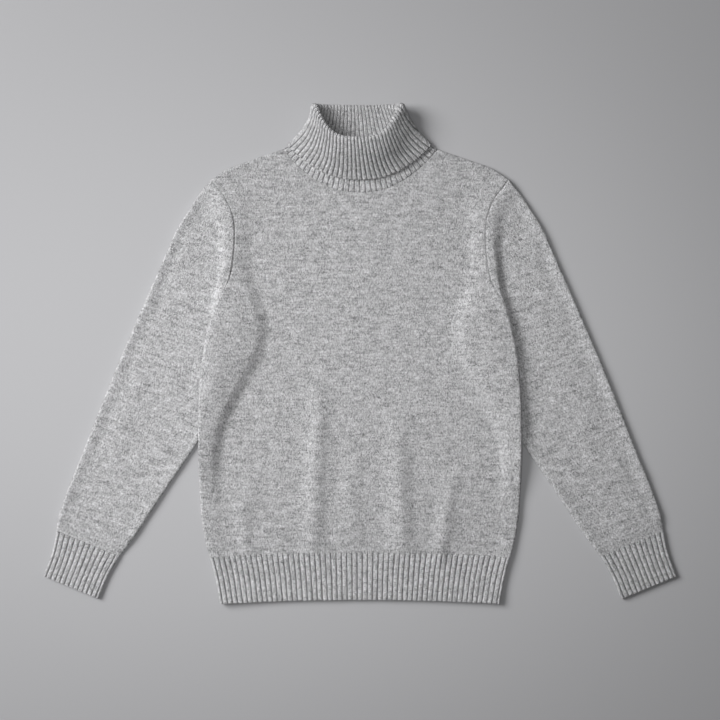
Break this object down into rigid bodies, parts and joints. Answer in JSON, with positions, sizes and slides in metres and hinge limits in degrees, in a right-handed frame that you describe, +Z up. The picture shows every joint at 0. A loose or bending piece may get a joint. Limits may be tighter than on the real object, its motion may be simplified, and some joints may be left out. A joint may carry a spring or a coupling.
{
  "type": "turtleneck sweater",
  "caption": "Grey melange knitted turtleneck sweater, laid flat and closed, with ribbed hem, cuffs and a turned-down ribbed collar",
  "frame": {"origin": "centre of the laid-out outline, on the surface the sweater lies on", "axes": "+X across the body towards the sleeve on the right of the view, +Y from the hem to the neck, +Z up from the surface; the front panel faces +Z"},
  "size_m": [0.981, 0.771, 0.0451],
  "materials": {
    "jersey_knit": "soft matte wool-blend jersey, grey melange, slight nap",
    "rib_knit": "soft matte rib of the same grey melange yarn, deep grooves between the ribs"
  },
  "bodies": {
    "root": {"front_panel": "jersey_knit", "back_panel": "jersey_knit", "sleeve_left": "jersey_knit", "sleeve_right": "jersey_knit", "hem_rib_front": "rib_knit", "hem_rib_back": "rib_knit", "cuff_left": "rib_knit", "cuff_right": "rib_knit", "collar": "rib_knit"}
  },
  "joints": []
}
